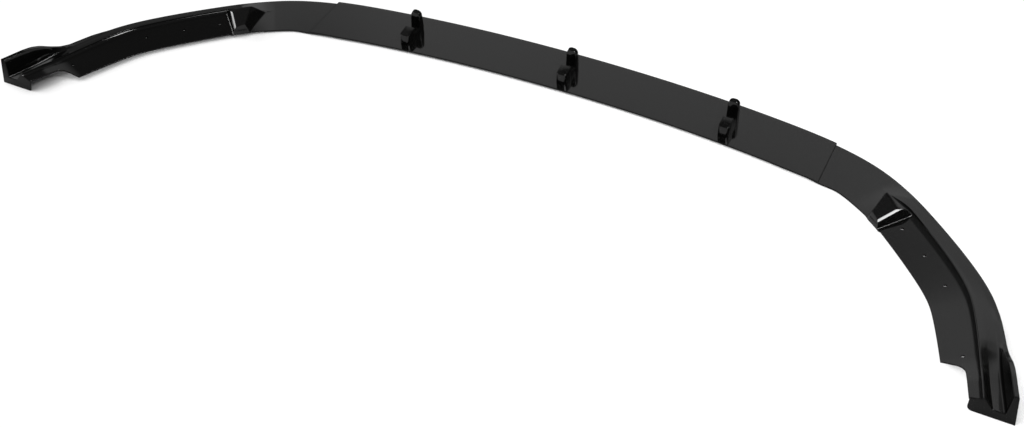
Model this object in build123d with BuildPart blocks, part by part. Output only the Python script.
from build123d import *
import os

os.makedirs("parts", exist_ok=True)

# Front splitter lip of a car: a centre section lapped over two side sections.
# Frame: x across the car, y towards the nose, z up, floor at z = 0 under the middle of the lip.

# Plan of the lower front edge, from the nose to the right-hand end
overall_depth = 561.0
edge_plan = (
    (400.0, 27.5),
    (610.5, 90.5),
    (711.5, 176.6),
    (786.0, 258.8),
    (837.5, 334.7),
    (855.0, 377.5),
)  # x and set-back behind the nose
end_x = 909.5
end_flare = 0.29
run_out = 30.0

# Moulded skins
wall = 2.5
lap_gap = 0.2
front_draft = 0.12
nose_edge = 1.4

# Centre section
seam_x = 507.0
centre_width = 112.0
centre_front_height = 17.5
centre_rear_height = 5.7

# Side sections
tongue_length = 30.0
side_width = 100.3
flange_bulge = 3.2
strip_sag = 0.3
band_width = 40.0
band_crown = 0.6
crest_height = 28.0
crest_growth = 4.0
crest_spread = 10.0
step_run = 1.9
step_drop = 5.2
flange_fall = 0.26
wing_rise = 37.0
wing_rim = 7.0
wing_base = 18.5
wing_inner_share = 0.82
floor_edge = 36.0
floor_height = 15.0

# Distances along the edge from the nose at which the sections change
centre_run = 552.0
tongue_start = 450.0
strip_end = 640.0
rise_end = 738.0
centre_steps = 10
tongue_steps = 4
rise_steps = 6
flange_steps = 8

# Winglet: how far before the end it starts, and its growth from station to station
wing_run = 191.0
wing_pitch = 25.0
wing_shares = (0.0, 0.12, 0.26, 0.5, 0.8, 1.0, 1.0, 1.0, 1.0)
channel_shares = (0.0, 0.1, 0.6, 1.0, 1.0, 1.0, 1.0, 1.0, 1.0)

# Pod at the head of each flange: distance along the edge, offset from it and height
pod_peak = (692.0, 64.7, 42.7)
pod_low = (716.6, 103.9, 25.3)
pod_brow = (735.5, 67.5, 36.6)
pod_shoulder = (735.0, 53.8, 35.0)
pod_toe = (657.0, 37.7, 8.0)
pod_foot = (741.6, 56.0, 22.5)
pod_start = 650.0
pod_end = 752.0
pod_inner_offset = 104.5
pod_blank_height = 60.0

# Screw flange: line of holes, and the notch before the end
hole_line = 69.7
hole_stations = (761.0, 833.0, 913.0)
last_hole_run = 107.2
hole_diameter = 5.0
notch_run = 97.7
notch_corner_run = 84.2
notch_offset = 68.5
notch_radius = 20.0
end_corner = 8.0

# Moulded clips on the centre section
clip_stations = (0.0, 333.0)
clip_inset = 14.5
clip_width = 17.5
clip_block_length = 26.0
clip_block_height = 29.0
clip_saddle_length = 18.5
clip_saddle_height = 22.5
clip_post_width = 16.5
clip_post_height = 58.0
clip_post_base = 15.5
clip_post_tip = 8.0
clip_corner = 4.0
clip_edge = 1.2
clip_crown = 6.0

# Lap screws, driven from below into bosses of the centre section
screw_spots = ((500.0, 35.0), (515.0, 84.0))
screw_shank = 3.3
screw_fit = 0.1
screw_head = 12.0
screw_head_height = 2.0
screw_seat_gap = 0.05
screw_recess = 1.0
screw_recess_depth = 1.1
boss_diameter = 8.0
boss_clearance = 1.0
boss_shortfall = 0.2
pilot_cover = 0.9

# Sizes that follow
nose_y = overall_depth / 2
end_y = -overall_depth / 2
lap_step = wall + lap_gap
side_front_height = centre_front_height - lap_step
strip_slope = (centre_rear_height - centre_front_height) / (centre_width - front_draft * centre_front_height)
overcut = 2 * wall
run_out_length = run_out * (1 + end_flare**2) ** 0.5

with BuildLine() as lip_edge:
    edge_points = [(0, nose_y)]
    edge_points += [(x, nose_y - setback) for x, setback in edge_plan]
    edge_points += [(end_x, end_y), (end_x + end_flare * run_out, end_y - run_out)]
    edge = Spline(*edge_points, tangents=((1, 0), (end_flare, -1)))

run_end = edge.length
end_along = run_end - run_out_length
wing_start = end_along - wing_run
notch_start = end_along - notch_run


def section_plane(along):
    """Upright plane across the edge: x runs inward from the edge and y runs up."""
    heading = edge.tangent_at(along, position_mode=PositionMode.LENGTH)
    origin = edge.position_at(along, position_mode=PositionMode.LENGTH)
    return Plane(origin=origin, x_dir=(heading.Y, -heading.X, 0), z_dir=-heading)


def on_edge(along, offset, height=0.0):
    """Point at a distance along the edge, an offset inward from it and a height."""
    return section_plane(along).from_local_coords(Vector(offset, height, 0))


def spaced(start, stop, steps):
    """Evenly spaced distances from start to stop."""
    return [start + (stop - start) * step / steps for step in range(steps + 1)]


def inset(corners, depth):
    """Corners of a closed outline with every side moved inward by the depth."""
    moved = []
    for index, corner in enumerate(corners):
        here = Vector(*corner)
        arriving = (here - Vector(*corners[index - 1])).normalized()
        leaving = (Vector(*corners[(index + 1) % len(corners)]) - here).normalized()
        first = Vector(arriving.Y, -arriving.X)
        second = Vector(leaving.Y, -leaving.X)
        point = here + (first + second) * (depth / (1 + first.dot(second)))
        moved.append((point.X, point.Y))
    return moved


def strip_height(offset):
    """Height of the centre section's top at an offset from the edge."""
    return centre_front_height + strip_slope * (offset - front_draft * centre_front_height)


def centre_corners():
    """Section of the centre strip, from its lower front edge over the top to the rear."""
    front = front_draft * centre_front_height
    return [(0, 0), (front, centre_front_height), (centre_width, centre_rear_height), (centre_width, 0)]


def side_corners(top, wing_top):
    """Section of a side piece: lower front edge, wing rim, floor, crest, step and rear edge."""
    rim = lap_step + front_draft * wing_top
    rear_offset = top[-1][0]
    return [(lap_step, 0), (rim, wing_top), *top, (rear_offset, 0)]


def flange_width(along):
    """Offset of the flange's rear edge, which bulges between the pod and the notch."""
    share = (along - rise_end) / (notch_start - rise_end)
    return side_width + 4 * flange_bulge * max(share * (1 - share), 0)


def strip_section():
    """Side section next to the centre: one lap below it, sagging so that the lap bears on its edges."""
    rim = lap_step + front_draft * side_front_height
    rim_height = strip_height(rim) - lap_step
    top = []
    for offset in (rim + wing_rim, wing_base, floor_edge, band_width, band_width + step_run, side_width):
        share = (offset - rim) / (side_width - rim)
        sag = 4 * strip_sag * share * (1 - share)
        top.append((offset, strip_height(offset) - lap_step - sag))
    return side_corners(top, rim_height)


def flange_section(along, wing_share=0.0, channel_share=0.0):
    """Side section with the rising band, the step behind its crest and the screw flange."""
    grown = (along - rise_end) / (end_along - rise_end)
    crest = (band_width + crest_spread * grown, crest_height + crest_growth * grown * wing_share)
    rise = wing_rise * wing_share
    front = lap_step + front_draft * side_front_height
    rim = lap_step + front_draft * (side_front_height + rise)

    def band(offset):
        share = (offset - front) / (crest[0] - front)
        crown = 4 * band_crown * share * (1 - share)
        return side_front_height + share * (crest[1] - side_front_height) + crown

    def floor(offset):
        return band(offset) + channel_share * (floor_height - band(offset))

    step = (crest[0] + step_run, crest[1] - step_drop)
    rear_offset = flange_width(along)
    rear = (rear_offset, step[1] - flange_fall * (rear_offset - step[0]))
    rim_inner = (rim + wing_rim, band(rim + wing_rim) + wing_inner_share * rise)
    top = [rim_inner, (wing_base, floor(wing_base)), (floor_edge, floor(floor_edge)), crest, step, rear]
    return side_corners(top, side_front_height + rise)


def rise_section(along):
    """Side section on its way from the plain slope to the stepped flange."""
    share = (along - strip_end) / (rise_end - strip_end)
    eased = share * share * (3 - 2 * share)
    pairs = zip(strip_section(), flange_section(along))
    return [(a[0] + eased * (b[0] - a[0]), a[1] + eased * (b[1] - a[1])) for a, b in pairs]


def hollow(corners):
    """Space under a section: one wall inside it, open below and at the rear."""
    lower_front, *top, rear, lower_rear = corners
    slope = (rear[1] - top[-1][1]) / (rear[0] - top[-1][0])
    below = -(wall + overcut)
    far = rear[0] + wall + overcut
    opened = [(lower_front[0] + front_draft * below, below), *top]
    opened += [(far, rear[1] + slope * (far - rear[0])), (far, below)]
    return inset(opened, wall)


def facet(*spots):
    """Plane through three spots of the pod, facing up."""
    first, second, third = [on_edge(*spot) for spot in spots]
    normal = (second - first).cross(third - first)
    if normal.Z < 0:
        normal = -normal
    return Plane(origin=first, z_dir=normal)


pod_facets = (
    facet(pod_peak, pod_low, pod_brow),
    facet(pod_peak, pod_low, pod_toe),
    facet(pod_peak, pod_shoulder, pod_toe),
    facet(pod_brow, pod_shoulder, pod_foot),
)
tongue_sections = [(along, strip_section()) for along in spaced(tongue_start, strip_end, tongue_steps)]
flange_sections = [(along, rise_section(along)) for along in spaced(strip_end, rise_end, rise_steps)]
flange_stations = spaced(rise_end, wing_start, flange_steps)[1:-1]
flange_sections += [(along, flange_section(along)) for along in flange_stations]
for step, shares in enumerate(zip(wing_shares, channel_shares)):
    along = wing_start + step * wing_pitch
    flange_sections.append((along, flange_section(along, *shares)))
flange_sections.append((run_end, flange_section(run_end, 1.0, 1.0)))
centre_stations = spaced(0.0, centre_run, centre_steps)


# Centre section: outer form, the hollow under it, and one clip with its core
with BuildPart() as centre_form:
    for along in centre_stations:
        with BuildSketch(section_plane(along)):
            with BuildLine():
                Polyline(*centre_corners(), close=True)
            make_face()
    loft()
    split(bisect_by=Plane.YZ.offset(seam_x), keep=Keep.BOTTOM)
    mirror(about=Plane.YZ)
    chamfer(centre_form.edges().group_by(Axis.Z)[-1], nose_edge)

with BuildPart() as centre_hollow:
    for along in centre_stations:
        with BuildSketch(section_plane(along)):
            with BuildLine():
                Polyline(*hollow(centre_corners()), close=True)
            make_face()
    loft()
    mirror(about=Plane.YZ)

with BuildPart() as clip:
    saddle_end = clip_block_length + clip_saddle_length
    post_end = saddle_end + clip_post_base
    with BuildSketch(Plane.YZ):
        with Locations((clip_block_length / 2, clip_block_height / 2)):
            Rectangle(clip_block_length, clip_block_height)
    extrude(amount=clip_width / 2, both=True)
    rear_corners = clip.edges().filter_by(Axis.Z).group_by(Axis.Y)[0]
    fillet(rear_corners, clip_corner)
    with BuildSketch(Plane.YZ):
        with BuildLine():
            Polyline(
                (clip_block_length - wall, 0),
                (clip_block_length - wall, clip_saddle_height),
                (saddle_end, clip_saddle_height),
                (saddle_end, clip_post_height),
                (saddle_end + clip_post_tip, clip_post_height),
                (post_end, clip_saddle_height),
                (post_end, 0),
                close=True,
            )
        make_face()
    extrude(amount=clip_post_width / 2, both=True)
    crown = clip.edges().filter_by(Axis.Y).group_by(Axis.Z)[-1]
    fillet(crown, clip_crown)
    chamfer(clip.faces().filter_by(Axis.Z).group_by(Axis.Z)[-2].edges(), clip_edge)

with BuildPart() as clip_core:
    core_length = post_end - clip_post_tip - 2 * wall
    with BuildSketch(Plane.XY):
        with Locations((0, wall + core_length / 2)):
            Rectangle(clip_post_width - 2 * wall, core_length)
    extrude(amount=clip_saddle_height - wall)


def clip_spot(along, side):
    """Foot of a clip's rear face, inside the rear edge of the centre strip."""
    spot = on_edge(along, centre_width - clip_inset)
    return (side * spot.X, spot.Y, 0)


def screw_seat(along, offset):
    """Plane on the underside of the centre section, facing up and square to the skin."""
    section = section_plane(along)
    upright = section.y_dir - section.x_dir * strip_slope
    on_top = on_edge(along, offset, strip_height(offset))
    return Plane(on_top, x_dir=section.z_dir, z_dir=upright).offset(-wall)


clip_spots = [clip_spot(clip_stations[0], 1)]
clip_spots += [clip_spot(along, side) for along in clip_stations[1:] for side in (-1, 1)]
seats = [screw_seat(*spot) for spot in screw_spots]
screw_seat_depth = lap_step + strip_sag + screw_seat_gap
boss_length = lap_step - boss_shortfall

with BuildPart() as lap_bosses:
    for seat in seats:
        with BuildSketch(seat.offset(-boss_length)):
            Circle(boss_diameter / 2)
        extrude(amount=boss_length + wall / 2)
    mirror(about=Plane.YZ)

with BuildPart() as lap_pilots:
    for seat in seats:
        with BuildSketch(seat.offset(-boss_length)):
            Circle((screw_shank + screw_fit) / 2)
        extrude(amount=boss_length + wall - pilot_cover)
    mirror(about=Plane.YZ)

with BuildPart() as centre_section:
    add(centre_form.part)
    for spot in clip_spots:
        with Locations(spot):
            add(clip.part)
    add(centre_hollow.part, mode=Mode.SUBTRACT)
    for spot in clip_spots:
        with Locations(spot):
            add(clip_core.part, mode=Mode.SUBTRACT)
    add(lap_bosses.part)
    add(lap_pilots.part, mode=Mode.SUBTRACT)
centre_section.part.label = "centre_section"
export_step(centre_section.part, "parts/centre_section.step")


# Side sections: outer form, the hollow under it, and the pod at the head of the flange
with BuildPart() as side_form:
    for sections in (tongue_sections, flange_sections):
        for along, corners in sections:
            with BuildSketch(section_plane(along)):
                with BuildLine():
                    Polyline(*corners, close=True)
                make_face()
        loft()
    split(bisect_by=Plane.XZ.offset(-end_y), keep=Keep.BOTTOM)
    split(bisect_by=Plane.YZ.offset(seam_x - tongue_length), keep=Keep.TOP)

with BuildPart() as side_hollow:
    for sections in (tongue_sections, flange_sections):
        for along, corners in sections:
            with BuildSketch(section_plane(along)):
                with BuildLine():
                    Polyline(*hollow(corners), close=True)
                make_face()
        loft()
    split(bisect_by=Plane.XZ.offset(-end_y - wall), keep=Keep.BOTTOM)


def pod_outline(depth):
    """Plan of the pod's blank, moved inward by the depth."""
    middle = (pod_start + pod_end) / 2
    outer = lap_step + front_draft * side_front_height + depth
    inner = pod_inner_offset - depth
    stations = (pod_start, middle, pod_end)
    points = [on_edge(along, outer) for along in stations]
    points += [on_edge(along, inner) for along in reversed(stations)]
    return [(point.X, point.Y) for point in points]


with BuildPart() as pod_form:
    with BuildSketch(Plane.XY):
        with BuildLine():
            Polyline(*pod_outline(0), close=True)
        make_face()
    extrude(amount=pod_blank_height)
    for plane in pod_facets:
        split(bisect_by=plane, keep=Keep.BOTTOM)

with BuildPart() as pod_hollow:
    with BuildSketch(Plane.XY):
        with BuildLine():
            Polyline(*pod_outline(wall), close=True)
        make_face()
    extrude(amount=pod_blank_height)
    for plane in pod_facets:
        split(bisect_by=plane.offset(-wall), keep=Keep.BOTTOM)

with BuildPart() as flange_notch:
    corner = on_edge(end_along - notch_corner_run, notch_offset)
    mouth = on_edge(notch_start, side_width)
    opening = mouth + (mouth - corner)
    finish = on_edge(run_end, notch_offset)
    with BuildSketch(Plane.XY) as notch_plan:
        with BuildLine():
            Polyline(
                (opening.X, opening.Y),
                (corner.X, corner.Y),
                (finish.X, finish.Y),
                (opening.X, finish.Y),
                close=True,
            )
        make_face()
        fillet(notch_plan.vertices().sort_by_distance(corner)[0], notch_radius)
    extrude(amount=pod_blank_height)

with BuildPart() as right_section:
    add(side_form.part)
    add(pod_form.part)
    add(side_hollow.part, mode=Mode.SUBTRACT)
    add(pod_hollow.part, mode=Mode.SUBTRACT)
    add(flange_notch.part, mode=Mode.SUBTRACT)
    for along in (*hole_stations, end_along - last_hole_run):
        with Locations(on_edge(along, hole_line, crest_height)):
            Hole(hole_diameter / 2)
    end_edges = right_section.edges().filter_by(Axis.Y, tolerance=20).group_by(Axis.Z)[0]
    end_foot = on_edge(end_along, notch_offset)
    fillet(end_edges.sort_by_distance(end_foot)[0], end_corner)
    for seat in seats:
        with BuildSketch(seat):
            Circle(boss_diameter / 2 + boss_clearance)
        extrude(amount=-2 * lap_step, mode=Mode.SUBTRACT)
right_section.part.label = "right_section"
export_step(right_section.part, "parts/right_section.step")

with BuildPart() as left_section:
    mirror(right_section.part, about=Plane.YZ)
left_section.part.label = "left_section"
export_step(left_section.part, "parts/left_section.step")


# Lap screws: washer head under the tongue, shank up into the boss
with BuildPart() as joint_screws:
    for seat in seats:
        under = seat.offset(-screw_seat_depth)
        with BuildSketch(under):
            Circle(screw_head / 2)
        extrude(amount=-screw_head_height)
        with BuildSketch(under):
            Circle(screw_shank / 2)
        extrude(amount=screw_seat_depth + wall - pilot_cover - screw_fit)
        with BuildSketch(under.offset(-screw_head_height)):
            Rectangle(screw_head / 2, screw_recess)
            Rectangle(screw_recess, screw_head / 2)
        extrude(amount=screw_recess_depth, mode=Mode.SUBTRACT)
    mirror(about=Plane.YZ)
joint_screws.part.label = "joint_screws"
export_step(joint_screws.part, "parts/joint_screws.step")
